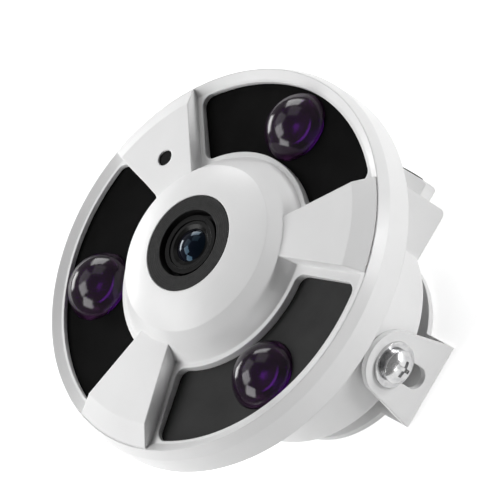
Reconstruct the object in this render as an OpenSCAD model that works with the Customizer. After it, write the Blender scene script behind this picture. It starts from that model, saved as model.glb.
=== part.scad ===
// Panoramic security camera with three infrared windows
// A disc-shaped front with a raised lens hood sits on a round housing, which tilts in a U bracket.
// Z points out of the lens, X runs along the two pivot screws, and Y points to the cable outlet.
// The origin is the centre of the bracket's foot, on the surface that it is screwed to.

/* [Front disc] */
// Overall diameter of the front disc
disc_d = 117.6; // [117.4:0.2:122]
// Diameter of the edge between the face and the rim chamfer
face_d = 114.6; // [113:0.2:115]
// Height of the rim chamfer
rim_chamfer_h = 3.6; // [2:0.1:4]
// How far the window frames lie below the face edge
land_drop = 1.3; // [0.6:0.1:1.8]
// How far the window frames rise from the rim to the hood
face_rise = 1; // [0:0.1:1.2]
// Wall thickness of the front cover
cover_wall = 2.2; // [1.8:0.1:2.4]
// Diameter of the circle that the three cover screws lie on
screw_ring_d = 97; // [96.4:0.2:98]

/* [Lens hood] */
// Diameter of the mouth that holds the lens bezel
mouth_d = 28.9; // [28:0.1:30]
// Height of the mouth above the window frames
mouth_h = 12.95; // [12:0.05:14]
// Diameter of the hood's ridge
ridge_d = 49.8; // [48:0.2:52]
// Height of the ridge above the window frames
ridge_h = 9.3; // [8.4:0.1:10]
// Diameter of the hood's foot
hood_foot_d = 62; // [60:0.2:62.4]
// Bulge of the top between mouth and ridge
hood_bulge = 0.5; // [0:0.1:0.8]

/* [Windows] */
// Inner diameter of the windows
window_in_d = 64.8; // [64:0.2:66]
// Outer diameter of the windows
window_out_d = 107.8; // [106:0.2:108]
// Angle between two windows that is left for a spoke, in degrees
spoke_angle = 33; // [30:1:34]
// Turn of the upper window and of the two spokes beside it, in degrees
upper_turn = 1.5; // [0:0.1:2]
// Corner radius of the windows
window_corner_r = 3; // [2:0.1:4]
// Depth of the black panels below their frames
window_recess = 1.4; // [1:0.1:1.5]
// Thickness of the black panels
panel_t = 1.6; // [1.5:0.1:2]
// How far a panel reaches under its frame
panel_lap = 1.4; // [1:0.1:1.5]

/* [Spokes] */
// Width of the frame strip beside each spoke
spoke_inset = 1.6; // [1.5:0.1:2.5]
// Height of a spoke above the window frames, at the hood
spoke_in_h = 5.8; // [5:0.1:6.4]
// Height of a spoke above the window frames, at its outer break
spoke_out_h = 4.6; // [4.3:0.1:5.2]
// Diameter at which a spoke starts to fall to the rim
spoke_break_d = 102; // [100:0.5:104]
// Draft of the spoke walls, in degrees
draft_angle = 3; // [2:0.5:8]

/* [Lights] */
// Diameter of the circle that the lights sit on
light_ring_d = 86.4; // [86.2:0.1:86.6]
// Diameter of a dome lens
dome_d = 20.2; // [19:0.1:20.4]
// Height of a dome above its black panel
dome_h = 7.2; // [6.5:0.1:8]
// Height of the straight foot of a dome above its black panel
dome_foot_h = 0.6; // [0.4:0.1:1.6]
// Width of the flange round the foot of a dome
dome_flange_w = 1.4; // [1:0.1:1.5]
// Thickness of that flange
dome_flange_t = 1.3; // [1:0.1:1.8]
// Room between the light plate and the dome flanges
led_room = 2.4; // [2.4:0.1:4]
// Diameter of a round LED board
led_board_d = 18.6; // [17:0.1:18.8]
// Thickness of the plate that carries the lights
plate_t = 1.5; // [1.2:0.1:2]

/* [Light sensor] */
// Diameter of the sensor hole in one spoke
sensor_hole_d = 4.8; // [4:0.1:5.4]
// Diameter of the circle that the hole lies on
sensor_ring_d = 76.5; // [74:0.5:80]

/* [Lens] */
// Bore of the lens bezel
bezel_bore_d = 20; // [19.4:0.1:21]
// Thickness of the bezel's front ring
bezel_t = 2.8; // [2.2:0.1:3.4]
// Diameter of the lens barrel's head
head_d = 17.6; // [17:0.1:18]
// Length of the lens barrel's head
head_len = 6; // [5:0.1:7]
// How far the head lies below the bezel's face
head_drop = 0.9; // [0.5:0.1:1.5]
// Diameter of the seat in the head for the retaining ring
retainer_d = 14.6; // [14:0.1:15]
// Clear diameter of the front glass
glass_d = 9.8; // [9:0.1:10.4]
// Radius of the front glass's curve
glass_r = 6.6; // [6.4:0.1:7.2]
// How far the front glass stands above the bezel's face
glass_rise = 0.5; // [0.3:0.1:0.8]
// Thread diameter of the lens barrel
thread_d = 12; // [11:0.1:12.4]

/* [Rear housing] */
// Diameter of the round rear housing
can_d = 69.2; // [68:0.2:70]
// Length of the rear housing behind the front disc
can_len = 40.8; // [39.8:0.2:46]
// Radius of the housing's rear edge
can_edge_r = 4; // [3:0.1:5]
// Wall thickness of the rear housing
can_wall = 2.2; // [1.8:0.1:2.6]
// Thickness of the flange that closes the front disc
flange_t = 2.5; // [2:0.1:3]
// Diameter of the two pivot bosses
pivot_boss_d = 16; // [14:0.2:17]
// Distance from the pivot axis to the housing's rear face
pivot_inset = 9.1; // [8.6:0.1:10]

/* [Cable outlet] */
// Width of the outlet box
outlet_w = 36; // [32:0.5:38]
// Distance from the lens axis to the outlet's outer face
outlet_reach = 44.6; // [43:0.2:46]
// How far the box stops short of the housing's rear face
outlet_gap = 2; // [1:0.1:4]
// Corner radius of the outlet box
outlet_corner_r = 2.2; // [1.5:0.1:3]
// Width across flats of the cable bush
bush_af = 15; // [14:0.1:16]
// Height of the bush above the box
bush_h = 4.2; // [3.6:0.1:5]
// Diameter of the cable that the bush takes
cable_d = 5.2; // [4:0.1:6]

/* [Bracket] */
// Thickness of the bracket's sheet
sheet_t = 1.8; // [1.5:0.1:2.2]
// Diameter of the round foot plate
foot_d = 57.2; // [54:0.2:60]
// Width of the strap and of each ear at its root
ear_w = 25.4; // [24:0.2:27]
// Distance over the outer faces of the two ears
ear_span = 75; // [74.6:0.1:76]
// Radius of the round tip of each ear
ear_tip_r = 9.6; // [9.2:0.1:10.4]
// Outer bend radius of the sheet
bend_r = 2.4; // [2.3:0.1:3]
// Height of the pivot screws above the mounting surface
pivot_h = 18.8; // [18:0.1:20]
// Width of the slot in each ear
slot_w = 6.6; // [6:0.1:7]
// Length of the slot between its two end centres
slot_len = 10.4; // [9:0.1:10.6]
// Diameter of the four screw holes in the foot
foot_hole_d = 4.5; // [4:0.1:5]
// Diameter of the circle that those holes lie on
foot_pcd = 44; // [40:0.5:46]

/* [Pivot screws] */
// Diameter of the screw shank
screw_d = 4.9; // [4.6:0.1:5]
// Diameter of the screw head
screw_head_d = 9.8; // [9:0.1:10.4]
// Height of the screw head
screw_head_h = 3; // [2.5:0.1:3.5]
// Outer diameter of the flat washers
washer_d = 13.4; // [12:0.1:15]
// Thickness of the flat washers
washer_t = 1; // [0.8:0.1:1.5]
// Outer diameter of the spring washers
spring_d = 9; // [8:0.1:9.4]
// Thickness of the spring washers
spring_t = 1.2; // [1:0.1:1.6]

/* [Circuit boards] */
// Side length of the square boards
board_w = 38; // [37:0.5:40]
// Thickness of the boards
board_t = 1.6; // [1.2:0.1:2]
// Distance from the edges of a board to its screws
board_hole_inset = 2.5; // [2.3:0.1:2.8]
// Gap between the light plate and the sensor board
upper_gap = 2.4; // [2.3:0.1:2.8]
// Gap between the sensor board and the main board
middle_gap = 11.4; // [10:0.1:12]
// Gap between the main board and the power board
lower_gap = 10.4; // [9:0.1:11]

/* [Filter switch] */
// Travel of the shuttle from the infrared filter to the clear glass
shuttle_travel = 7.6; // [7.4:0.1:7.8]
// Side length of each square filter glass
filter_w = 6.8; // [6.4:0.1:6.8]
// Distance of the rotor's axis from the lens axis
rotor_y = 15.2; // [15.1:0.1:15.4]

/* [Hidden] */
$fn = 128;

// One overrun serves every cut
over = 1;
// Clearance of pieces that are dropped or glued into a seat
seat_clear = 0.15;
// Radial clearance of turning and sliding pieces
run_clear = 0.08;
// Gap between the pivot bosses and the ears
ear_clear = 0.1;
// Number of windows, lights and spokes, and the angles that they stand at
light_count = 3;
first_light_angle = 90;
light_step_angle = 360 / light_count;
sensor_angle = first_light_angle + light_step_angle / 2 + upper_turn;
window_half_angle = light_step_angle / 2 - spoke_angle / 2;

// Colours as the photograph shows them
white_paint = "#f1f1f1";
panel_black = "#1c1c1e";
dome_purple = "#1b1026";
bezel_grey = "#3a3a3a";
steel = "#c9c9cc";
board_green = "#1d5a36";

// Heights, measured from the mounting surface
can_rear_z = pivot_h - pivot_inset;
flange_z = can_rear_z + can_len;
plate_z = flange_z + flange_t;
plate_top_z = plate_z + plate_t;
dome_flange_z = plate_top_z + led_room;
panel_z = dome_flange_z + dome_flange_t;
panel_top_z = panel_z + panel_t;
land_z = panel_top_z + window_recess;
under_z = land_z - cover_wall;
rim_z = land_z + land_drop;
chamfer_z = rim_z - rim_chamfer_h;
mouth_z = land_z + mouth_h;
ridge_z = land_z + ridge_h;

// Radii of the front cover
disc_r = disc_d / 2;
face_r = face_d / 2;
mouth_r = mouth_d / 2;
ridge_r = ridge_d / 2;
hood_foot_r = hood_foot_d / 2;
window_in_r = window_in_d / 2;
window_out_r = window_out_d / 2;
light_r = light_ring_d / 2;
sensor_r = sensor_ring_d / 2;
light_hole_r = sensor_hole_d / 2;
skirt_in_r = disc_r - cover_wall;
cavity_gap = 0.25;
cavity_r = window_out_r + panel_lap + seat_clear + cavity_gap;
rim_slope_w = 0.8;
gasket_t = 1;
gasket_w = 2;
ledge_z = plate_z + gasket_t;

// The hood's side leans in by this much per unit of height
hood_lean = (hood_foot_r - ridge_r) / (ridge_h - face_rise);
// Sideways distance between the outer and the inner face of the hood's side
hood_shift = cover_wall * sqrt(1 + hood_lean * hood_lean);

// Collar inside the lens mouth
collar_w = 2.6;
collar_len = 6;
lip_w = 1.35;
lip_z = mouth_z - bezel_t;
lip_r = mouth_r - lip_w;
collar_z = lip_z - collar_len;

// Small screws and what they pass through
screw_small_r = 1;
board_hole_r = screw_small_r + run_clear;
cover_screw_r = 1.5;
screw_ring_r = screw_ring_d / 2;

// Room that the camera module takes around the lens axis
case_w = 26;
case_front_y = 6;
case_rim = 3.8;
case_back_y = rotor_y + case_rim;
case_gap = 0.6;

// Distance between the board screws
board_pitch = board_w - 2 * board_hole_inset;

// Heights of the boards
sensor_board_z = plate_z - upper_gap - board_t;
sensor_board_top_z = sensor_board_z + board_t;
main_board_z = sensor_board_z - middle_gap - board_t;
power_board_z = main_board_z - lower_gap - board_t;

// Points on an arc about [cx, cy]
function arc_points(cx, cy, r, a0, a1, n) =
    [for (i = [0:n]) let (a = a0 + (a1 - a0) * i / n) [cx + r * cos(a), cy + r * sin(a)]];

// Points of the hood's curved top from the ridge to the mouth, raised by dz
function hood_top(r_from, r_to, dz, n) =
    [for (i = [0:n])
        let (r = r_from + (r_to - r_from) * i / n, t = (r - mouth_r) / (ridge_r - mouth_r))
        [r, mouth_z + (ridge_z - mouth_z) * t + 4 * hood_bulge * t * (1 - t) + dz]];

// A straight cylinder that starts at z
module post(r, h, z = 0) translate([0, 0, z]) cylinder(r = r, h = h);

// A tube that starts at z
module tube(r_out, r_in, h, z = 0) {
    difference() {
        post(r_out, h, z);
        post(r_in, h + 2 * over, z - over);
    }
}

// A box centred in X and Y that starts at z
module slab(w, d, h, z = 0) translate([-w / 2, -d / 2, z]) cube([w, d, h]);

// A sphere cap that stands on z
module cap(base_r, h, z = 0) {
    r = (base_r * base_r + h * h) / (2 * h);
    translate([0, 0, z]) difference() {
        translate([0, 0, h - r]) sphere(r = r);
        slab(4 * r, 4 * r, 4 * r, -4 * r);
    }
}

// A cross recess of a given depth, cut down from z
module cross_recess(l, w, depth, z) {
    for (turn = [0, 90]) rotate(turn) slab(l, w, depth + over, z - depth);
}

// Where each window and each spoke stands; the first window and the spokes beside it are turned
function window_turn(i) = first_light_angle + light_step_angle * i + (i == 0 ? upper_turn : 0);
function spoke_turn(i) = first_light_angle + light_step_angle * (i + 0.5) + (i == 1 ? 0 : upper_turn);

// Children placed at every light, or at one of them
module at_light(i) rotate(window_turn(i)) translate([light_r, 0, 0]) children();
module at_lights() for (i = [0:light_count - 1]) at_light(i) children();

// Children turned to every spoke
module at_spokes() for (i = [0:light_count - 1]) rotate(spoke_turn(i)) children();

// Children at the four board screws
module at_board_screws() {
    for (x = [-1, 1], y = [-1, 1]) translate([x * board_pitch / 2, y * board_pitch / 2, 0]) children();
}

// Children at both ends of the pivot axis, with their own Z pointing outwards
module at_pivots() {
    for (side = [0, 1]) translate([0, 0, pivot_h]) rotate([0, 0, side * 180]) rotate([0, 90, 0]) children();
}

// A ring sector about +X, whose straight sides lie inset from the rays at plus and minus half
module sector(r_in, r_out, half, inset) {
    far = 2 * r_out;
    shift = inset / sin(half);
    intersection() {
        difference() {
            circle(r = r_out);
            circle(r = r_in);
        }
        translate([shift, 0]) polygon([[0, 0], [far * cos(half), -far * sin(half)],
            [far, 0], [far * cos(half), far * sin(half)]]);
    }
}

// What one rounded corner loses: the corner outside the circle that touches both sides, at a and b
corner_reach_share = 1.4;
module corner_loss(c, r, a, b) {
    to_a = (a - c) * corner_reach_share;
    to_b = (b - c) * corner_reach_share;
    difference() {
        polygon([c, c + to_a, c + to_a + to_b, c + to_b]);
        translate(c) circle(r = r);
    }
}

// A window outline about +X with four rounded corners
module window_outline() {
    r = window_corner_r;
    from_out = window_out_r - r;
    from_in = window_in_r + r;
    to_side = r * [-sin(window_half_angle), cos(window_half_angle)];
    out_angle = window_half_angle - asin(r / from_out);
    in_angle = window_half_angle - asin(r / from_in);
    out_c = from_out * [cos(out_angle), sin(out_angle)];
    in_c = from_in * [cos(in_angle), sin(in_angle)];
    difference() {
        sector(window_in_r, window_out_r, window_half_angle, 0);
        for (flip = [0, 1]) mirror([0, flip]) {
            corner_loss(out_c, r, out_c + to_side, window_out_r / from_out * out_c);
            corner_loss(in_c, r, in_c + to_side, window_in_r / from_in * in_c);
        }
    }
}

// Front cover

spoke_break_r = spoke_break_d / 2;
spoke_sink = 1.2;
spoke_root_r = ridge_r - spoke_sink;
edge_strip = 0.4;
spoke_end_r = face_r - edge_strip;
spoke_end_rise = 0.2;
boss_r = 3.6;
boss_sink = 0.5;
boss_top_z = land_z + spoke_out_h - cover_wall + boss_sink;
pilot_len = 7;

// The space between the two leaning side planes of a spoke
module spoke_planes(inset) {
    reach = 2 * disc_r;
    intersection_for (flip = [0, 1]) mirror([0, flip, 0])
        translate([0, 0, land_z]) rotate([0, 0, spoke_angle / 2]) translate([0, -inset, 0])
            rotate([draft_angle, 0, 0]) translate([-reach, -reach, -reach]) cube([2 * reach, reach, 2 * reach]);
}

// One spoke: a revolved profile between its side planes
module spoke(inset, drop, r_from, r_to, floor_z) {
    in_z = land_z + spoke_in_h - drop;
    out_z = land_z + spoke_out_h - drop;
    end_z = rim_z + spoke_end_rise - drop;
    intersection() {
        rotate_extrude() polygon([[r_from, floor_z], [r_to, floor_z], [r_to, end_z],
            [spoke_break_r, out_z], [r_from, in_z]]);
        spoke_planes(inset);
    }
}

module cover_body() {
    rotate_extrude() polygon(concat(
        [[0, flange_z], [disc_r, flange_z], [disc_r, chamfer_z], [face_r, rim_z],
         [window_out_r + rim_slope_w, land_z], [hood_foot_r, land_z + face_rise]],
        hood_top(ridge_r, mouth_r, 0, 8),
        [[0, mouth_z]]
    ));
}

module cover_cavity() {
    in_ridge_r = ridge_r - hood_shift / 2;
    in_ridge_z = ridge_z - cover_wall;
    in_foot_r = in_ridge_r + hood_lean * (in_ridge_z - under_z);
    collar_r = mouth_r + collar_w;
    rotate_extrude() polygon(concat(
        [[0, flange_z - over], [skirt_in_r, flange_z - over], [skirt_in_r, ledge_z], [cavity_r, ledge_z],
         [cavity_r, under_z], [in_foot_r, under_z]],
        hood_top(in_ridge_r, collar_r, -cover_wall, 4),
        [[collar_r, collar_z], [0, collar_z]]
    ));
}

module front_cover() {
    color(white_paint) difference() {
        union() {
            difference() {
                union() {
                    cover_body();
                    at_spokes() spoke(spoke_inset, 0, spoke_root_r, spoke_end_r, under_z);
                }
                cover_cavity();
                at_spokes() spoke(spoke_inset + cover_wall, cover_wall, ridge_r - hood_shift,
                    spoke_end_r - 2 * cover_wall, under_z - over);
            }
            at_spokes() translate([screw_ring_r, 0, 0]) post(boss_r, boss_top_z - plate_top_z, plate_top_z);
        }
        post(mouth_r, bezel_t + over, lip_z);
        post(lip_r, mouth_z - collar_z + 2 * over, collar_z - over);
        for (i = [0:light_count - 1]) rotate(window_turn(i)) {
            translate([0, 0, under_z - over]) linear_extrude(2 * cover_wall + 2 * over) window_outline();
            translate([0, 0, under_z - over]) linear_extrude(panel_top_z - under_z + over)
                sector(window_in_r - panel_lap - seat_clear, window_out_r + panel_lap + seat_clear,
                    window_half_angle, -panel_lap - seat_clear);
        }
        at_spokes() translate([screw_ring_r, 0, 0]) post(cover_screw_r, pilot_len + over, plate_top_z - over);
        rotate(sensor_angle) translate([sensor_r, 0, 0]) post(light_hole_r, ridge_z - under_z, under_z + over);
    }
}

// Window panels and dome lenses

dome_r = dome_d / 2;
dome_hole_r = dome_r + seat_clear;
flange_out_r = dome_r + dome_flange_w;
lens_hollow_r = dome_r / 2;
lens_hollow_gap = 0.3;
led_board_t = 1.6;
led_base_r = 3.4;
led_base_h = 1.2;
led_cap_r = 2.4;
led_head_r = 1.6;
led_head_h = 0.6;
led_screw_ring_r = 6.6;
led_notch_r = 1.5;
led_z = plate_top_z + led_board_t;
lens_hollow_z = led_z + led_base_h + led_cap_r + lens_hollow_gap;

module window_panel(i) {
    color(panel_black) difference() {
        rotate(window_turn(i)) translate([0, 0, panel_z]) linear_extrude(panel_t)
            sector(window_in_r - panel_lap, window_out_r + panel_lap, window_half_angle, -panel_lap);
        at_light(i) post(dome_hole_r, panel_t + 2 * over, panel_z - over);
    }
}

module dome_lens(i) {
    color(dome_purple) at_light(i) difference() {
        union() {
            cap(dome_r, dome_h - dome_foot_h, panel_top_z + dome_foot_h);
            post(dome_r, panel_top_z + dome_foot_h - dome_flange_z, dome_flange_z);
            post(flange_out_r, dome_flange_t, dome_flange_z);
        }
        post(lens_hollow_r, lens_hollow_z - dome_flange_z + over, dome_flange_z - over);
    }
}

// Ring that holds a dome's flange up against its panel
module dome_spacer(i) {
    color("white") at_light(i)
        tube(flange_out_r, led_board_d / 2 + seat_clear, dome_flange_z - plate_top_z, plate_top_z);
}

// Lights

module at_led_screws() for (side = [-1, 1]) translate([0, side * led_screw_ring_r, 0]) children();

module led_board(i) {
    color("#e8e8e4") at_light(i) difference() {
        post(led_board_d / 2, led_board_t, plate_top_z);
        for (k = [0:5]) rotate(60 * k) translate([led_board_d / 2, 0, 0])
            post(led_notch_r, led_board_t + 2 * over, plate_top_z - over);
        at_led_screws() post(screw_small_r + seat_clear, led_board_t + 2 * over, plate_top_z - over);
    }
}

module led_emitter(i) {
    color("#30203a") at_light(i) {
        post(led_base_r, led_base_h, led_z);
        cap(led_cap_r, led_cap_r, led_z + led_base_h);
    }
}

module led_screws() {
    color(steel) at_lights() at_led_screws() {
        post(led_head_r, led_head_h, led_z);
        post(screw_small_r, led_board_t + plate_t, plate_z);
    }
}

plate_gap = 1.4;
plate_r = cavity_r - plate_gap;

module light_plate() {
    color("#b9bcc0") difference() {
        post(plate_r, plate_t, plate_z);
        translate([-case_w / 2 - case_gap, -case_back_y - case_gap, plate_z - over])
            cube([case_w + 2 * case_gap, case_back_y + case_front_y + 2 * case_gap, plate_t + 2 * over]);
        at_board_screws() post(board_hole_r, plate_t + 2 * over, plate_z - over);
        at_lights() at_led_screws() post(screw_small_r + run_clear, plate_t + 2 * over, plate_z - over);
        at_spokes() translate([screw_ring_r, 0, 0]) post(cover_screw_r + seat_clear, plate_t + 2 * over, plate_z - over);
    }
}

// Light sensor

photocell_board_w = 6.4;
photocell_board_t = 1.2;
photocell_r = 2.2;
photocell_h = 1.6;
pipe_rim_w = 0.9;
pipe_rim_t = 1;
pipe_gap = 0.2;
pipe_sink = 0.6;
// Height of a spoke's top at radius r
function spoke_top_z(r) = land_z + spoke_in_h
    + (spoke_out_h - spoke_in_h) * (r - spoke_root_r) / (spoke_break_r - spoke_root_r);
pipe_z = plate_top_z + photocell_board_t + photocell_h + pipe_gap;
pipe_rim_z = spoke_top_z(sensor_r + light_hole_r + pipe_rim_w) - cover_wall - pipe_rim_t - pipe_gap;

module at_sensor() rotate(sensor_angle) translate([sensor_r, 0, 0]) children();

module light_pipe() {
    color("#2b2b30") at_sensor() {
        post(light_hole_r - run_clear, spoke_top_z(sensor_r) - pipe_sink - pipe_z, pipe_z);
        post(light_hole_r + pipe_rim_w, pipe_rim_t, pipe_rim_z);
    }
}

module photocell() {
    color("#8a4b2a") at_sensor() post(photocell_r, photocell_h, plate_top_z + photocell_board_t);
}

module photocell_board() {
    color(board_green) at_sensor() slab(photocell_board_w, photocell_board_w, photocell_board_t, plate_top_z);
}

// Lens

bezel_r = mouth_r - seat_clear;
bezel_bore_r = bezel_bore_d / 2;
sleeve_r = lip_r - seat_clear;
head_r = head_d / 2;
head_z = mouth_z - head_drop;
head_base_z = head_z - head_len;
retainer_r = retainer_d / 2;
retainer_drop = 0.3;
retainer_top_z = head_z - retainer_drop;
glass_open_r = glass_d / 2;
glass_edge_w = 0.7;
glass_rim_r = glass_open_r + glass_edge_w;
glass_rim_t = 1.2;
// The front glass is a sphere cap about this centre, on a flat rim
glass_centre_z = mouth_z + glass_rise - glass_r;
retainer_z = glass_centre_z + sqrt(glass_r * glass_r - glass_rim_r * glass_rim_r);
glass_z = retainer_z - glass_rim_t;
lip_edge = 0.1;
glass_lip_z = glass_centre_z + sqrt(glass_r * glass_r - glass_open_r * glass_open_r) + lip_edge;
retainer_flare = 1.6;
thread_r = thread_d / 2;
barrel_wall = 1.3;
barrel_lip = 1;
barrel_bore_r = thread_r - barrel_wall;
barrel_tail_r = barrel_bore_r - barrel_lip;
seal_len = 1.8;
seal_gap = 0.8;
seal_z = head_base_z + seal_gap;

module lens_bezel() {
    color(bezel_grey) difference() {
        union() {
            post(bezel_r, bezel_t, lip_z);
            post(sleeve_r, lip_z - collar_z, collar_z);
        }
        post(bezel_bore_r, mouth_z - collar_z + 2 * over, collar_z - over);
    }
}

module lens_seal() {
    color("#151515") tube(bezel_bore_r - run_clear, head_r + run_clear, seal_len, seal_z);
}

// Heights inside the filter switch, from its tray up to the lens holder
tray_t = 2;
shuttle_t = 1.2;
slide_gap = 0.15;
arm_t = 0.9;
shuttle_z = sensor_board_top_z + tray_t + slide_gap;
arm_z = shuttle_z + shuttle_t + slide_gap;
tray_top_z = arm_z + arm_t + 2 * slide_gap;
holder_plate_t = 1;
holder_z = tray_top_z;
holder_drop = 2.4;
holder_top_z = head_base_z - holder_drop;
holder_wall = 2;
holder_r = thread_r + holder_wall;
tail_gap = 0.8;
tail_z = holder_z + holder_plate_t + tail_gap;
middle_glass_sink = 1;
middle_glass_z = head_base_z - middle_glass_sink;
middle_glass_t = 2;
rear_glass_t = 1.8;
rear_glass_lift = 0.8;
rear_glass_z = tail_z + rear_glass_lift;
aperture_gap = 0.4;
aperture_r = filter_w / 2 + aperture_gap;

module lens_barrel() {
    color("#4c4c4e") difference() {
        union() {
            post(head_r, head_len, head_base_z);
            post(thread_r, head_base_z - tail_z, tail_z);
        }
        post(retainer_r, head_z - retainer_z + over, retainer_z);
        post(glass_rim_r + run_clear, glass_rim_t + over, glass_z);
        post(barrel_bore_r, glass_z - rear_glass_z + over, rear_glass_z);
        post(barrel_tail_r, head_len + over, tail_z - over);
    }
}

module lens_retainer() {
    color("#0c0c0c") difference() {
        post(retainer_r - run_clear, retainer_top_z - retainer_z, retainer_z);
        post(glass_open_r, head_len, retainer_z - over);
        translate([0, 0, glass_lip_z])
            cylinder(r1 = glass_open_r, r2 = glass_open_r + retainer_flare, h = retainer_top_z - glass_lip_z + lip_edge);
        translate([0, 0, glass_centre_z]) sphere(r = glass_r + run_clear);
    }
}

module front_glass() {
    color("#28425a") {
        post(glass_rim_r, glass_rim_t, glass_z);
        cap(glass_rim_r, mouth_z + glass_rise - retainer_z, retainer_z);
    }
}

module middle_glass() {
    color("#5a7a90") post(barrel_bore_r - run_clear, middle_glass_t, middle_glass_z);
}

module rear_glass() {
    color("#5a7a90") post(barrel_bore_r - run_clear, rear_glass_t, rear_glass_z);
}

module lens_holder() {
    color("#161616") difference() {
        union() {
            translate([-case_w / 2, -case_back_y, holder_z]) cube([case_w, case_back_y + case_front_y, holder_plate_t]);
            post(holder_r, holder_top_z - holder_z, holder_z);
        }
        post(thread_r + run_clear, holder_top_z - holder_z, holder_z + holder_plate_t);
        post(aperture_r, 3 * holder_plate_t, holder_z - holder_plate_t);
        at_filter_screws() post(screw_small_r + run_clear, holder_plate_t + 2 * over, holder_z - over);
    }
}

// Filter switch

filter_screw_edge = 2.4;
filter_screw_x = case_w / 2 - filter_screw_edge;
filter_screw_y = case_back_y - filter_screw_edge;
swing_angle = 25;
ray_gap = 0.4;
filter_pitch = shuttle_travel;
shuttle_rim = 1;
shuttle_half_l = filter_pitch / 2 + filter_w / 2 + shuttle_rim;
shuttle_half_w = filter_w / 2 + shuttle_rim;
// The shuttle rests with the infrared filter on the lens axis
shuttle_x = -shuttle_travel / 2;
arm_len = shuttle_travel / 2 / sin(swing_angle);
pin_r = 0.7;
pin_slot_r = pin_r + slide_gap;
// Where the pin crosses the tab: nearest to and farthest from the lens axis
pin_near_y = rotor_y - arm_len;
pin_far_y = rotor_y - arm_len * cos(swing_angle);
tab_y = pin_far_y + pin_slot_r + shuttle_rim;
tab_half_w = pin_slot_r + shuttle_rim;
rotor_r = 1.8;
arm_half_w = 1.2;
coil_gap = 0.3;
coil_w = 1;
coil_in_r = rotor_r + coil_gap;
coil_out_r = coil_in_r + coil_w;
coil_h = 2.6;
coil_z = sensor_board_top_z + coil_gap;
filter_head_r = 1.7;
filter_head_h = 1;

module at_rotor() translate([0, -rotor_y, 0]) children();
module at_filter_screws() {
    for (side = [-1, 1]) translate([side * filter_screw_x, -filter_screw_y, 0]) children();
}

// Tray under the lens holder, with the channels for the shuttle, the arm and the coil
module filter_tray() {
    reach = shuttle_travel / 2 + shuttle_half_l + slide_gap * 2;
    channel = 2 * (shuttle_half_w + slide_gap);
    sensor_w = sensor_size + 2 * slide_gap;
    wall_h = tray_top_z - sensor_board_top_z;
    tab_reach = shuttle_travel / 2 + tab_half_w + 2 * slide_gap;
    color("#202022") difference() {
        translate([-case_w / 2, -case_back_y, sensor_board_top_z]) cube([case_w, case_back_y + case_front_y, wall_h]);
        translate([-reach, -channel / 2, sensor_board_top_z + tray_t]) cube([2 * reach, channel, wall_h]);
        translate([-tab_reach, -tab_y - 2 * slide_gap, sensor_board_top_z + tray_t])
            cube([2 * tab_reach, tab_y + 2 * slide_gap, wall_h]);
        translate([-tab_reach, -rotor_y, arm_z - slide_gap]) cube([2 * tab_reach, rotor_y, wall_h]);
        at_rotor() post(coil_out_r + slide_gap, wall_h, coil_z);
        slab(sensor_w, sensor_w, sensor_t + slide_gap + over, sensor_board_top_z - over);
        slab(filter_w - ray_gap, filter_w - ray_gap, wall_h + over, sensor_board_top_z - over);
        at_filter_screws() post(screw_small_r + run_clear, wall_h + 2 * over, sensor_board_top_z - over);
    }
}

module filter_shuttle() {
    glass_hole = filter_w + 2 * run_clear;
    color("#101010") translate([shuttle_x, 0, shuttle_z]) difference() {
        union() {
            slab(2 * shuttle_half_l, 2 * shuttle_half_w, shuttle_t);
            translate([-tab_half_w, -tab_y, 0]) cube([2 * tab_half_w, tab_y, shuttle_t]);
        }
        for (side = [-1, 1]) translate([side * filter_pitch / 2, 0, 0]) slab(glass_hole, glass_hole, 3 * shuttle_t, -shuttle_t);
        translate([-pin_slot_r, -pin_far_y, -over]) cube([2 * pin_slot_r, pin_far_y - pin_near_y, shuttle_t + 2 * over]);
        for (y = [pin_near_y, pin_far_y]) translate([0, -y, 0]) post(pin_slot_r, shuttle_t + 2 * over, -over);
    }
}

module ir_filter() {
    color("#7a2a3a") translate([shuttle_x + filter_pitch / 2, 0, 0]) slab(filter_w, filter_w, shuttle_t, shuttle_z);
}

module clear_filter() {
    color("#d8e6ea") translate([shuttle_x - filter_pitch / 2, 0, 0]) slab(filter_w, filter_w, shuttle_t, shuttle_z);
}

// Magnet with its drive arm, turned so that the pin stands in the shuttle's slot
module filter_rotor() {
    pin_depth = shuttle_t;
    color("#555558") at_rotor() {
        post(rotor_r, arm_z + arm_t - coil_z, coil_z);
        rotate(90 + swing_angle) {
            translate([0, -arm_half_w, arm_z]) cube([arm_len, 2 * arm_half_w, arm_t]);
            translate([arm_len, 0, 0]) {
                post(arm_half_w, arm_t, arm_z);
                post(pin_r, pin_depth + slide_gap + arm_t / 2, arm_z - pin_depth - slide_gap);
            }
        }
    }
}

module filter_coil() {
    color("#b4622c") at_rotor() tube(coil_out_r, coil_in_r, coil_h, coil_z);
}

module filter_screws() {
    color(steel) at_filter_screws() {
        post(filter_head_r, filter_head_h, holder_z + holder_plate_t);
        post(screw_small_r, holder_z + holder_plate_t - sensor_board_z, sensor_board_z);
    }
}

// Boards

sensor_size = 8.4;
sensor_t = 1.2;

module board(z, turn_hole_r) {
    color(board_green) difference() {
        slab(board_w, board_w, board_t, z);
        at_board_screws() post(turn_hole_r, board_t + 2 * over, z - over);
    }
}

module image_sensor() {
    color("#6a6f86") slab(sensor_size, sensor_size, sensor_t, sensor_board_top_z);
}

module sensor_board() {
    difference() {
        board(sensor_board_z, board_hole_r);
        color(board_green) at_filter_screws() post(screw_small_r + run_clear, board_t + 2 * over, sensor_board_z - over);
    }
}

module main_board() board(main_board_z, board_hole_r);

module power_board() board(power_board_z, board_hole_r);

chip_w = 14;
chip_t = 1.4;
capacitor_r = 3;
capacitor_h = 7;
capacitor_spread = 8;

module processor() {
    color("#18181a") slab(chip_w, chip_w, chip_t, main_board_z + board_t);
}

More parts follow.
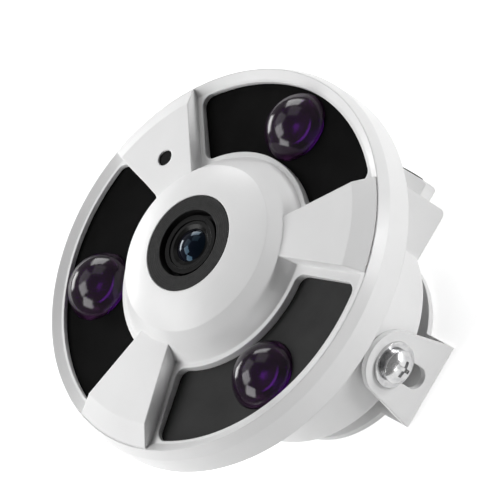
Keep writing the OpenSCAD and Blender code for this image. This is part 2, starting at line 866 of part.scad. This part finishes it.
module capacitors() {
    color("#30343c") for (side = [-1, 1]) translate([side * capacitor_spread, 0, 0])
        post(capacitor_r, capacitor_h, power_board_z + board_t);
}

// Spacers, standoffs and screws of the board stack
standoff_r = 2.2;
stud_len = 4;
board_head_r = 1.9;
board_head_h = 1.3;
screw_bite = 3;
screw_tip_gap = 1;
upper_screw_len = plate_t + upper_gap + board_t + screw_bite;
lower_screw_len = board_t + screw_bite;

module upper_spacers() {
    color(steel) at_board_screws() tube(standoff_r, board_hole_r, upper_gap, sensor_board_top_z);
}

module middle_standoffs() {
    color("#c8a24a") at_board_screws() tube(standoff_r, board_hole_r, middle_gap, main_board_z + board_t);
}

module lower_standoffs() {
    color("#c8a24a") at_board_screws() difference() {
        union() {
            post(standoff_r, lower_gap, power_board_z + board_t);
            post(screw_small_r, board_t + stud_len, main_board_z);
        }
        post(board_hole_r, lower_screw_len + screw_tip_gap, power_board_z);
    }
}

module board_screws() {
    color(steel) at_board_screws() {
        post(board_head_r, board_head_h, plate_top_z);
        post(screw_small_r, upper_screw_len, plate_top_z - upper_screw_len);
        post(board_head_r, board_head_h, power_board_z - board_head_h);
        post(screw_small_r, lower_screw_len, power_board_z);
    }
}

// Rear housing

can_r = can_d / 2;
can_in_r = can_r - can_wall;
can_floor_z = can_rear_z + can_wall;
can_inner_edge_r = can_edge_r / 2;
outlet_inner_corner_r = 0.5;
flange_r = skirt_in_r - seat_clear;
cover_screw_head_r = 2.8;
cover_screw_head_h = 2;
cover_screw_bite = 5.5;
cover_screw_len = flange_t + plate_t + cover_screw_bite;
ear_out_x = ear_span / 2;
ear_in_x = ear_out_x - sheet_t;
boss_face_x = ear_in_x - ear_clear;
boss_depth = 9.6;
screw_depth = 8;
outlet_z = can_rear_z + outlet_gap;
outlet_wall = can_wall;

// The bush sits in a corner of the box, with its lock nut just clear of the side wall and the floor
bush_angle = 6;
bush_shank_r = 5;
bush_hole_r = bush_shank_r + run_clear;
nut_af = 13.4;
nut_h = 3;
nut_side_gap = 0.15;
nut_floor_gap = outlet_inner_corner_r;
nut_r = nut_af / 2 / cos(30);
bush_tail = 1;
bush_x = outlet_w / 2 - outlet_wall - nut_side_gap - nut_r * cos(bush_angle);
bush_z = outlet_z + outlet_wall + nut_floor_gap + nut_r * cos(30 - bush_angle);

// The outlet box's side view, with its rear corner rounded
module outlet_side(y, z, r, top) {
    polygon(concat([[0, top], [0, z]], arc_points(y - r, z + r, r, -90, 0, 8), [[y, top]]));
}

module outlet_box(w, y, z, r, top) {
    translate([-w / 2, 0, 0]) rotate([90, 0, 90]) linear_extrude(w) outlet_side(y, z, r, top);
}

module can_body() {
    rotate_extrude() polygon(concat(
        [[0, can_rear_z]],
        arc_points(can_r - can_edge_r, can_rear_z + can_edge_r, can_edge_r, -90, 0, 10),
        [[can_r, flange_z], [flange_r, flange_z], [flange_r, plate_z], [0, plate_z]]
    ));
}

module rear_housing() {
    color(white_paint) difference() {
        union() {
            difference() {
                union() {
                    can_body();
                    outlet_box(outlet_w, outlet_reach, outlet_z, outlet_corner_r, flange_z + flange_t / 2);
                }
                rotate_extrude() polygon(concat(
                    [[0, can_floor_z]],
                    arc_points(can_in_r - can_inner_edge_r, can_floor_z + can_inner_edge_r, can_inner_edge_r, -90, 0, 6),
                    [[can_in_r, plate_z + over], [0, plate_z + over]]
                ));
                outlet_box(outlet_w - 2 * outlet_wall, outlet_reach - outlet_wall, outlet_z + outlet_wall,
                    outlet_inner_corner_r, flange_z);
            }
            at_pivots() post(pivot_boss_d / 2, boss_depth, boss_face_x - boss_depth);
        }
        at_pivots() post(screw_d / 2 + run_clear, screw_depth + over, boss_face_x - screw_depth);
        at_spokes() translate([screw_ring_r, 0, 0]) post(cover_screw_r + seat_clear, flange_t + 2 * over, flange_z - over);
        translate([bush_x, outlet_reach, bush_z]) rotate([90, 0, 0]) post(bush_hole_r, outlet_wall + 2 * over, -over);
    }
}

module cover_gasket() {
    color("#222222") tube(flange_r, flange_r - gasket_w, gasket_t, plate_z);
}

module cover_screws() {
    color(steel) at_spokes() translate([screw_ring_r, 0, 0]) {
        difference() {
            post(cover_screw_head_r, cover_screw_head_h, flange_z - cover_screw_head_h);
            mirror([0, 0, 1]) cross_recess(cover_screw_head_r, cover_screw_head_r / 4,
                cover_screw_head_h / 2, cover_screw_head_h - flange_z);
        }
        post(cover_screw_r - run_clear, cover_screw_len, flange_z);
    }
}

// Cable outlet

bush_bore_gap = 0.8;
bush_bore_r = cable_d / 2 + bush_bore_gap;
bush_r = bush_af / 2 / cos(30);
bush_bevel = 0.8;
grommet_lip = 0.5;

// Children with Z along the bush, starting at the outer face of the box
module at_bush() translate([bush_x, outlet_reach, bush_z]) rotate([-90, 0, 0]) children();

module hex_prism(r, h, z) translate([0, 0, z]) rotate(-bush_angle) cylinder(r = r, h = h, $fn = 6);

module cable_bush() {
    color(white_paint) at_bush() difference() {
        union() {
            intersection() {
                hex_prism(bush_r, bush_h, 0);
                cylinder(r1 = bush_r + bush_h, r2 = bush_r - bush_bevel, h = bush_h);
            }
            post(bush_shank_r, outlet_wall + nut_h + bush_tail, -outlet_wall - nut_h - bush_tail);
        }
        post(bush_bore_r, bush_h + outlet_wall + nut_h + bush_tail + 2 * over, -outlet_wall - nut_h - bush_tail - over);
    }
}

module bush_nut() {
    color(steel) at_bush() difference() {
        hex_prism(nut_r, nut_h, -outlet_wall - nut_h);
        post(bush_shank_r + run_clear, nut_h + 2 * over, -outlet_wall - nut_h - over);
    }
}

module cable_grommet() {
    color("#262626") at_bush() {
        tube(bush_bore_r - run_clear, cable_d / 2, bush_h + outlet_wall + nut_h, -outlet_wall - nut_h);
        tube(bush_bore_r + grommet_lip, cable_d / 2, grommet_lip, bush_h);
    }
}

// Bracket

foot_r = foot_d / 2;
slot_r = slot_w / 2;

// Side view of an ear: a round tip with straight flanks that run tangent to it
module ear_outline() {
    half = ear_w / 2;
    root_z = bend_r;
    rise = pivot_h - root_z;
    reach = sqrt(half * half + rise * rise);
    touch = atan2(-rise, half) + acos(ear_tip_r / reach);
    tip = [ear_tip_r * cos(touch), pivot_h + ear_tip_r * sin(touch)];
    translate([0, pivot_h]) circle(r = ear_tip_r);
    polygon([[-half, -over], [half, -over], [half, root_z], tip, [-tip[0], tip[1]], [-half, root_z]]);
}

// Front view of the bent strip: the foot, two ears and the bends between them
module strip_outline() {
    top = pivot_h + ear_tip_r + over;
    bend_x = ear_out_x - bend_r;
    translate([-bend_x, 0]) square([2 * bend_x, sheet_t]);
    for (flip = [0, 1]) mirror([flip, 0]) {
        translate([ear_in_x, bend_r]) square([sheet_t, top - bend_r]);
        intersection() {
            translate([bend_x, bend_r]) difference() {
                circle(r = bend_r);
                circle(r = bend_r - sheet_t);
            }
            translate([bend_x, 0]) square([bend_r, bend_r]);
        }
    }
}

module mount_bracket() {
    through = ear_span + 2 * over;
    color(white_paint) difference() {
        union() {
            intersection() {
                translate([0, ear_w / 2, 0]) rotate([90, 0, 0]) linear_extrude(ear_w) strip_outline();
                translate([-through / 2, 0, 0]) rotate([90, 0, 90]) linear_extrude(through) ear_outline();
            }
            post(foot_r, sheet_t);
        }
        for (k = [0:3]) rotate(90 * (k + 0.5)) translate([foot_pcd / 2, 0, 0])
            post(foot_hole_d / 2, sheet_t + 2 * over, -over);
        for (z = [pivot_h, pivot_h - slot_len]) translate([-through / 2, 0, z]) rotate([0, 90, 0]) post(slot_r, through);
        translate([-through / 2, -slot_r, pivot_h - slot_len]) cube([through, slot_w, slot_len]);
    }
}

// Pivot screws and their washers

washer_hole_r = screw_d / 2 + run_clear;
spring_x = ear_out_x + washer_t;
head_x = spring_x + spring_t;

module flat_washers() {
    color(steel) at_pivots() tube(washer_d / 2, washer_hole_r, washer_t, ear_out_x);
}

// Split washers: a ring with a slanted gap
split_w = 0.7;
slant_angle = 30;

module spring_washers() {
    color("#8c8c90") at_pivots() difference() {
        tube(spring_d / 2, washer_hole_r, spring_t, spring_x);
        translate([0, spring_d / 2, spring_x + spring_t / 2]) rotate([0, slant_angle, 0])
            cube([split_w, spring_d, 4 * spring_t], center = true);
    }
}

// Pan head with a cross recess
module pivot_screw() {
    rim_h = screw_head_h / 4;
    difference() {
        union() {
            post(screw_d / 2, head_x - boss_face_x + screw_depth - screw_tip_gap, boss_face_x - screw_depth + screw_tip_gap);
            post(screw_head_d / 2, rim_h, head_x);
            cap(screw_head_d / 2, screw_head_h - rim_h, head_x + rim_h);
        }
        cross_recess(screw_head_d / 2, screw_head_d / 9, screw_head_h / 2, head_x + screw_head_h);
    }
}

module pivot_screws() {
    color(steel) at_pivots() pivot_screw();
}

mount_bracket();
flat_washers();
front_cover();
rear_housing();
cover_gasket();
cover_screws();
window_panel(0);  // window_panel_1
window_panel(1);  // window_panel_2
window_panel(2);  // window_panel_3
dome_lens(0);  // dome_lens_1
dome_lens(1);  // dome_lens_2
dome_lens(2);  // dome_lens_3
dome_spacer(0);  // dome_spacer_1
dome_spacer(1);  // dome_spacer_2
dome_spacer(2);  // dome_spacer_3
led_board(0);  // led_board_1
led_board(1);  // led_board_2
led_board(2);  // led_board_3
led_emitter(0);  // led_emitter_1
led_emitter(1);  // led_emitter_2
led_emitter(2);  // led_emitter_3
led_screws();
light_plate();
light_pipe();
photocell();
photocell_board();
lens_bezel();
lens_seal();
lens_barrel();
lens_retainer();
front_glass();
middle_glass();
rear_glass();
lens_holder();
filter_tray();
filter_shuttle();
ir_filter();
clear_filter();
filter_rotor();
filter_coil();
filter_screws();
image_sensor();
sensor_board();
main_board();
processor();
power_board();
capacitors();
upper_spacers();
middle_standoffs();
lower_standoffs();
board_screws();
cable_bush();
cable_grommet();
bush_nut();
pivot_screws();
spring_washers();
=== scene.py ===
import math

import bpy
import bmesh
from mathutils import Matrix, Vector

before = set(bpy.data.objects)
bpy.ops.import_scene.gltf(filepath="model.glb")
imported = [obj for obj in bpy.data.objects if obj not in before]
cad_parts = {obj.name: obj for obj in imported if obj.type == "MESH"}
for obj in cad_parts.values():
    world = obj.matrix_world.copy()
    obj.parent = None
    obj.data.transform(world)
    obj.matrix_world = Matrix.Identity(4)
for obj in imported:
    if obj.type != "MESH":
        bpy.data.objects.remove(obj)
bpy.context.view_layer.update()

MM = 0.001

# Detail and roughness of the noise that varies the tone, the gloss and the grain of a surface
TONE_NOISE = (4.0, 0.55)
GLOSS_NOISE = (3.0, 0.6)
GRAIN_NOISE = (2.0, 0.5)
# The part of a noise's range in which a surface goes from its first value to its second
NOISE_RANGE = (0.3, 0.7)
RING_STRENGTH = 0.25
EDGE_SAMPLES = 6

# The camera: where it looks from the lens centre's height, to its right and up, and how far it stands
IMAGE_PIXELS = 500
PIXELS_PER_MM = 3.612
SENSOR_WIDTH = 36
AIM_HEIGHT = 62.5 * MM
AIM_RIGHT = 10.022 * MM
AIM_UP = 2.519 * MM
CAMERA_RIGHT = (0.609, 0.503, -0.613)
CAMERA_BACK = (0.723, -0.035, 0.690)
CAMERA_DISTANCE = 5.0

# The studio: the floor's half side and its gap below the foot, how much of the white ground the camera sees
# over the light that falls there, and the share of that white that mirrors show
FLOOR_HALF = 0.6
FLOOR_GAP = 0.2 * MM
FLOOR_TONE = 0.80
FLOOR_ROUGH = 0.9
FLOOR_WHITE = 0.68
FLOOR_MIRRORED = 1.0
WORLD_LIGHT = 0.03
WORLD_WHITE = 0.97
WORLD_MIRRORED = 0.25
LAMP_DISTANCE = 1.2
LAMP_AIM = Vector((0, 0, 0.04))

# Each soft box: azimuth and elevation in degrees, width and height in metres, power in watts
LAMPS = {
    "key_front": (222, 51, (0.6, 0.5), 6.0),
    "key_low": (262, 33, (0.6, 0.5), 7.0),
    "fill_left": (180, 50, (0.6, 0.6), 1.4),
    "fill_back": (120, 50, (0.6, 0.6), 1.0),
    "side_back": (135, 20, (0.6, 0.5), 5.5),
    "strip_right": (45, 0.2, (0.6, 0.06), 9.0),
    "strip_front": (-10, 0.2, (0.6, 0.06), 1.2),
    "rim_left": (190, 10, (0.5, 0.3), 3.5),
}


# Materials

def grey(value):
    return (value, value, value)


def add_node(tree, kind, operation=None):
    node = tree.nodes.new(kind)
    if operation:
        node.operation = operation
    return node


def new_material(name):
    mat = bpy.data.materials.new(name)
    mat.use_nodes = True
    tree = mat.node_tree
    return mat, tree, tree.nodes["Principled BSDF"]


def noise(tree, scale, character, stretch):
    """Noise in the object's own metres; scale is the number of features per metre."""
    coords = add_node(tree, "ShaderNodeTexCoord")
    mapping = add_node(tree, "ShaderNodeMapping")
    mapping.inputs["Scale"].default_value = stretch
    texture = add_node(tree, "ShaderNodeTexNoise")
    texture.inputs["Scale"].default_value = scale
    texture.inputs["Detail"].default_value, texture.inputs["Roughness"].default_value = character
    tree.links.new(coords.outputs["Object"], mapping.inputs["Vector"])
    tree.links.new(mapping.outputs["Vector"], texture.inputs["Vector"])
    return texture.outputs["Fac"]


def spread(tree, fac, to_low, to_high):
    """Turns the noise's range into a range of values."""
    node = add_node(tree, "ShaderNodeMapRange")
    node.inputs["From Min"].default_value, node.inputs["From Max"].default_value = NOISE_RANGE
    node.inputs["To Min"].default_value = to_low
    node.inputs["To Max"].default_value = to_high
    tree.links.new(fac, node.inputs["Value"])
    return node.outputs["Result"]


def two_tones(tree, fac, tones):
    """Turns the noise's range into a run from one colour to another."""
    ramp = add_node(tree, "ShaderNodeValToRGB")
    for stop, position, tone in zip(ramp.color_ramp.elements, NOISE_RANGE, tones):
        stop.position = position
        stop.color = (*tone, 1)
    tree.links.new(fac, ramp.inputs["Fac"])
    return ramp.outputs["Color"]


def round_edges(tree, radius):
    """Normals that roll over the edges, as a moulding's small fillets do."""
    node = add_node(tree, "ShaderNodeBevel")
    node.samples = EDGE_SAMPLES
    node.inputs["Radius"].default_value = radius
    return node.outputs["Normal"]


def bump(tree, fac, strength, distance, normal):
    node = add_node(tree, "ShaderNodeBump")
    node.inputs["Strength"].default_value = strength
    node.inputs["Distance"].default_value = distance
    tree.links.new(fac, node.inputs["Height"])
    if normal is not None:
        tree.links.new(normal, node.inputs["Normal"])
    return node.outputs["Normal"]


def rings(tree, pitch):
    """Concentric waves about the lens axis, one for each pitch of radius."""
    coords = add_node(tree, "ShaderNodeTexCoord")
    split = add_node(tree, "ShaderNodeSeparateXYZ")
    flat = add_node(tree, "ShaderNodeCombineXYZ")
    length = add_node(tree, "ShaderNodeVectorMath", "LENGTH")
    turns = add_node(tree, "ShaderNodeMath", "MULTIPLY")
    turns.inputs[1].default_value = 2 * math.pi / pitch
    wave = add_node(tree, "ShaderNodeMath", "SINE")
    tree.links.new(coords.outputs["Object"], split.inputs[0])
    tree.links.new(split.outputs["X"], flat.inputs["X"])
    tree.links.new(split.outputs["Y"], flat.inputs["Y"])
    tree.links.new(flat.outputs[0], length.inputs[0])
    tree.links.new(length.outputs["Value"], turns.inputs[0])
    tree.links.new(turns.outputs[0], wave.inputs[0])
    return wave.outputs[0]


def surface(name, tones, tone_scale, gloss, gloss_scale, grain_scale, grain, depth,
            stretch=(1, 1, 1), edge=0.0, ring_pitch=0.0, **sockets):
    """A surface with a varied tone, a varied roughness, a fine grain and rolled edges.

    The scales are features per metre, and depth, edge and ring_pitch are in millimetres. Each further keyword
    sets the shader's socket of that name.
    """
    mat, tree, shader = new_material(name)
    tone = noise(tree, tone_scale, TONE_NOISE, stretch)
    tree.links.new(two_tones(tree, tone, tones), shader.inputs["Base Color"])
    smear = noise(tree, gloss_scale, GLOSS_NOISE, stretch)
    tree.links.new(spread(tree, smear, *gloss), shader.inputs["Roughness"])
    normal = round_edges(tree, edge * MM) if edge else None
    if ring_pitch:
        normal = bump(tree, rings(tree, ring_pitch * MM), RING_STRENGTH, depth * MM, normal)
    normal = bump(tree, noise(tree, grain_scale, GRAIN_NOISE, stretch), grain, depth * MM, normal)
    tree.links.new(normal, shader.inputs["Normal"])
    for socket, value in sockets.items():
        shader.inputs[socket.replace("_", " ")].default_value = value
    return mat


def coated_glass(name, tint):
    """Lens glass that reflects the tint of its own coating."""
    return surface(name, ((0.002, 0.002, 0.005), (0.004, 0.004, 0.010)), 200, (0.05, 0.09), 300, 400, 0.01, 0.01,
                   Specular_IOR_Level=0.35, Specular_Tint=(*tint, 1))


def panel(name, tones, specular):
    """Grained black plastic of a window panel."""
    return surface(name, tones, 120, (0.42, 0.50), 400, 5200, 0.25, 0.03, Specular_IOR_Level=specular)


def polished_filter(name, tones):
    """Polished filter glass."""
    return surface(name, tones, 200, (0.02, 0.05), 300, 900, 0.02, 0.01, Coat_Weight=1.0, Coat_Roughness=0.1)


white_plastic = surface(
    "white_satin_plastic", (grey(0.79), grey(0.82)), 60, (0.34, 0.42), 220, 2600, 0.10, 0.04, edge=0.6)
bracket_paint = surface(
    "bracket_powder_coat", (grey(0.79), grey(0.82)), 90, (0.38, 0.48), 300, 1500, 0.18, 0.05, edge=0.4)
zinc = surface(
    "zinc_plated_steel", ((0.46, 0.46, 0.4692), grey(0.64)), 400, (0.16, 0.28), 900, 3000, 0.10, 0.02,
    edge=0.25, Metallic=1.0)
panel_black = panel("panel_black_grain", (grey(0.0015), grey(0.0035)), 0.03)
# Painted sheen: window panel 3 is the same grained black plastic with a lighter base colour that stands for the
# white hood's reflection on it; its higher specular level is real gloss
panel_painted_sheen = panel("panel_grain_painted_sheen", (grey(0.019), grey(0.026)), 0.16)
bezel_grey = surface(
    "bezel_grained_grey", (grey(0.007), grey(0.014)), 700, (0.50, 0.62), 600, 4200, 0.40, 0.06,
    edge=0.3, ring_pitch=0.6, Specular_IOR_Level=0.20)
barrel_grey = surface(
    "barrel_anodised_grey", (grey(0.003), grey(0.006)), 300, (0.26, 0.36), 600, 3000, 0.15, 0.03,
    edge=0.3, Specular_IOR_Level=0.08)
retainer_black = surface(
    "retainer_gloss_black", (grey(0.003), grey(0.006)), 300, (0.16, 0.24), 600, 3600, 0.15, 0.02,
    edge=0.2, Specular_IOR_Level=0.10)
black_rubber = surface(
    "black_rubber", (grey(0.010), grey(0.016)), 200, (0.60, 0.75), 400, 2400, 0.30, 0.08)
inner_white = surface(
    "inner_white_plastic", (grey(0.70), grey(0.76)), 120, (0.50, 0.60), 300, 1800, 0.15, 0.05)
led_white = surface(
    "led_board_white", ((0.72, 0.72, 0.6984), (0.80, 0.80, 0.776)), 200, (0.45, 0.60), 400, 2200, 0.15, 0.04)
plate_metal = surface(
    "plate_aluminium", (grey(0.58), grey(0.68)), 60, (0.30, 0.45), 200, 1600, 0.15, 0.04,
    stretch=(1, 8, 1), Metallic=1.0)
dark_pipe = surface(
    "smoked_light_pipe", (grey(0.003), grey(0.006)), 200, (0.20, 0.30), 300, 1200, 0.05, 0.02,
    Specular_IOR_Level=0.08)
cell_brown = surface(
    "photocell_brown", ((0.28, 0.12, 0.05), (0.36, 0.17, 0.08)), 500, (0.35, 0.50), 500, 2400, 0.20, 0.04)
board_green = surface(
    "board_solder_mask", ((0.010, 0.10, 0.035), (0.018, 0.15, 0.055)), 250, (0.30, 0.45), 400, 1800, 0.20, 0.04)
inner_black = surface(
    "inner_black_plastic", (grey(0.012), grey(0.020)), 200, (0.45, 0.60), 400, 2600, 0.25, 0.05)
filter_red = polished_filter("infrared_filter", ((0.20, 0.02, 0.04), (0.28, 0.04, 0.07)))
filter_clear = polished_filter("clear_filter", ((0.60, 0.70, 0.72), (0.70, 0.78, 0.80)))
magnet = surface(
    "magnet_steel", (grey(0.20), grey(0.28)), 400, (0.30, 0.45), 600, 2600, 0.20, 0.04, Metallic=1.0)
copper = surface(
    "coil_copper", ((0.48, 0.17, 0.06), (0.62, 0.25, 0.10)), 600, (0.25, 0.40), 900, 4000, 0.40, 0.08,
    stretch=(1, 1, 6), Metallic=0.9)
sensor_glass = surface(
    "sensor_cover_glass", ((0.06, 0.07, 0.14), (0.10, 0.12, 0.20)), 400, (0.05, 0.10), 400, 1200, 0.05, 0.02,
    Coat_Weight=1.0, Coat_Roughness=0.1)
chip_black = surface(
    "chip_moulded_black", (grey(0.014), grey(0.022)), 300, (0.45, 0.60), 500, 3200, 0.30, 0.04)
brass = surface(
    "standoff_brass", ((0.55, 0.38, 0.12), (0.68, 0.48, 0.18)), 300, (0.22, 0.38), 600, 2600, 0.15, 0.03,
    Metallic=1.0)
front_glass = coated_glass("front_glass_coating", (0.20, 0.42, 0.62))
middle_glass = coated_glass("middle_glass_coating", (0.10, 0.75, 0.55))
rear_glass = coated_glass("rear_glass_coating", (0.9, 0.2, 0.4))

# Smoked lens that shows a little of the emitter's painted glow behind it
dome_smoke = surface(
    "dome_smoked_purple", ((0.014, 0.004, 0.015), (0.022, 0.006, 0.024)), 90, (0.11, 0.15), 300, 600, 0.02, 0.01,
    edge=0.8, Specular_IOR_Level=0.16, Transmission_Weight=0.60, IOR=1.45)

# Emitter epoxy with a painted violet glow, which gives the violet spot seen inside each dome lens
emitter = surface(
    "emitter_painted_glow", ((0.30, 0.10, 0.36), (0.42, 0.16, 0.48)), 300, (0.08, 0.15), 300, 900, 0.05, 0.02,
    Emission_Color=(0.45, 0.16, 1.0, 1), Emission_Strength=22.0)

LOOKS = {
    "mount_bracket": bracket_paint, "pivot_screws": zinc, "spring_washers": zinc, "flat_washers": zinc,
    "front_cover": white_plastic, "rear_housing": white_plastic, "cover_gasket": black_rubber, "cover_screws": zinc,
    "light_plate": plate_metal, "led_screws": zinc, "light_pipe": dark_pipe, "photocell": cell_brown,
    "photocell_board": board_green, "lens_bezel": bezel_grey, "lens_seal": black_rubber, "lens_barrel": barrel_grey,
    "lens_retainer": retainer_black, "front_glass": front_glass, "middle_glass": middle_glass,
    "rear_glass": rear_glass, "lens_holder": inner_black, "filter_tray": inner_black, "filter_shuttle": inner_black,
    "ir_filter": filter_red, "clear_filter": filter_clear, "filter_rotor": magnet, "filter_coil": copper,
    "filter_screws": zinc, "image_sensor": sensor_glass, "sensor_board": board_green, "main_board": board_green,
    "power_board": board_green, "processor": chip_black, "capacitors": chip_black, "upper_spacers": zinc,
    "middle_standoffs": brass, "lower_standoffs": brass, "board_screws": zinc, "cable_bush": white_plastic,
    "cable_grommet": black_rubber, "bush_nut": zinc,
}
# Window panel 3 takes the panel with the painted sheen
for number, window in ((1, panel_black), (2, panel_black), (3, panel_painted_sheen)):
    LOOKS["window_panel_%d" % number] = window
    LOOKS["dome_lens_%d" % number] = dome_smoke
    LOOKS["dome_spacer_%d" % number] = inner_white
    LOOKS["led_board_%d" % number] = led_white
    LOOKS["led_emitter_%d" % number] = emitter

for name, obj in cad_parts.items():
    obj.data.materials.clear()
    obj.data.materials.append(LOOKS[name])


# Camera at the photograph's viewing angle

right = Vector(CAMERA_RIGHT).normalized()
back = Vector(CAMERA_BACK)
back = (back - back.dot(right) * right).normalized()
up = back.cross(right)
target = Vector((0, 0, AIM_HEIGHT)) + right * AIM_RIGHT + up * AIM_UP
frame_width = IMAGE_PIXELS / PIXELS_PER_MM * MM

camera_data = bpy.data.cameras.new("camera")
camera_data.sensor_width = SENSOR_WIDTH
camera_data.lens = SENSOR_WIDTH * CAMERA_DISTANCE / frame_width
camera_data.clip_start = 0.1
camera_data.clip_end = 40
camera = bpy.data.objects.new("camera", camera_data)
bpy.context.scene.collection.objects.link(camera)
camera.matrix_world = Matrix((
    (right.x, up.x, back.x, 0), (right.y, up.y, back.y, 0), (right.z, up.z, back.z, 0), (0, 0, 0, 1)))
camera.location = target + back * CAMERA_DISTANCE
bpy.context.scene.camera = camera


# Floor and light

def white_for_camera(tree, lit, strength, mirrored, output):
    """Adds white to a lit ground for camera and glass rays, and a share of it for mirror rays."""
    path = add_node(tree, "ShaderNodeLightPath")
    mirror = add_node(tree, "ShaderNodeMath", "MULTIPLY")
    mirror.inputs[1].default_value = mirrored
    tree.links.new(path.outputs["Is Glossy Ray"], mirror.inputs[0])
    seen = add_node(tree, "ShaderNodeMath", "MAXIMUM")
    tree.links.new(path.outputs["Is Camera Ray"], seen.inputs[0])
    tree.links.new(mirror.outputs[0], seen.inputs[1])
    seen_all = add_node(tree, "ShaderNodeMath", "MAXIMUM")
    tree.links.new(seen.outputs[0], seen_all.inputs[0])
    tree.links.new(path.outputs["Is Transmission Ray"], seen_all.inputs[1])
    scale = add_node(tree, "ShaderNodeMath", "MULTIPLY")
    scale.inputs[1].default_value = strength
    tree.links.new(seen_all.outputs[0], scale.inputs[0])
    glow = add_node(tree, "ShaderNodeEmission")
    tree.links.new(scale.outputs[0], glow.inputs["Strength"])
    add = add_node(tree, "ShaderNodeAddShader")
    tree.links.new(lit, add.inputs[0])
    tree.links.new(glow.outputs[0], add.inputs[1])
    tree.links.new(add.outputs[0], output)


floor_mesh = bpy.data.meshes.new("floor")
shape = bmesh.new()
bmesh.ops.create_grid(shape, x_segments=1, y_segments=1, size=FLOOR_HALF)
shape.to_mesh(floor_mesh)
shape.free()
floor = bpy.data.objects.new("floor", floor_mesh)
floor.location.z = -FLOOR_GAP
bpy.context.scene.collection.objects.link(floor)
floor_mat, floor_tree, floor_shader = new_material("pale_floor")
floor_shader.inputs["Base Color"].default_value = (*grey(FLOOR_TONE), 1)
floor_shader.inputs["Roughness"].default_value = FLOOR_ROUGH
floor_shader.inputs["Specular IOR Level"].default_value = 0.0
floor_surface = floor_tree.nodes["Material Output"].inputs["Surface"]
white_for_camera(floor_tree, floor_shader.outputs[0], FLOOR_WHITE, FLOOR_MIRRORED, floor_surface)
floor_mesh.materials.append(floor_mat)

world = bpy.data.worlds.new("studio")
world.use_nodes = True
bpy.context.scene.world = world
world_tree = world.node_tree
world_light = world_tree.nodes["Background"]
world_light.inputs["Color"].default_value = (1, 1, 1, 1)
world_light.inputs["Strength"].default_value = WORLD_LIGHT
world_surface = world_tree.nodes["World Output"].inputs["Surface"]
white_for_camera(world_tree, world_light.outputs[0], WORLD_WHITE, WORLD_MIRRORED, world_surface)


def lamp(name, azimuth, elevation, size, power):
    """A soft box that faces the object from an azimuth and an elevation in degrees."""
    data = bpy.data.lights.new(name, "AREA")
    data.shape = "RECTANGLE"
    data.size, data.size_y = size
    data.energy = power
    a, e = math.radians(azimuth), math.radians(elevation)
    away = Vector((math.cos(e) * math.cos(a), math.cos(e) * math.sin(a), math.sin(e))).normalized()
    obj = bpy.data.objects.new(name, data)
    obj.location = LAMP_AIM + away * LAMP_DISTANCE
    obj.rotation_euler = away.to_track_quat("Z", "Y").to_euler()
    bpy.context.scene.collection.objects.link(obj)


for name, values in LAMPS.items():
    lamp(name, *values)

bpy.context.scene.view_settings.view_transform = "Standard"
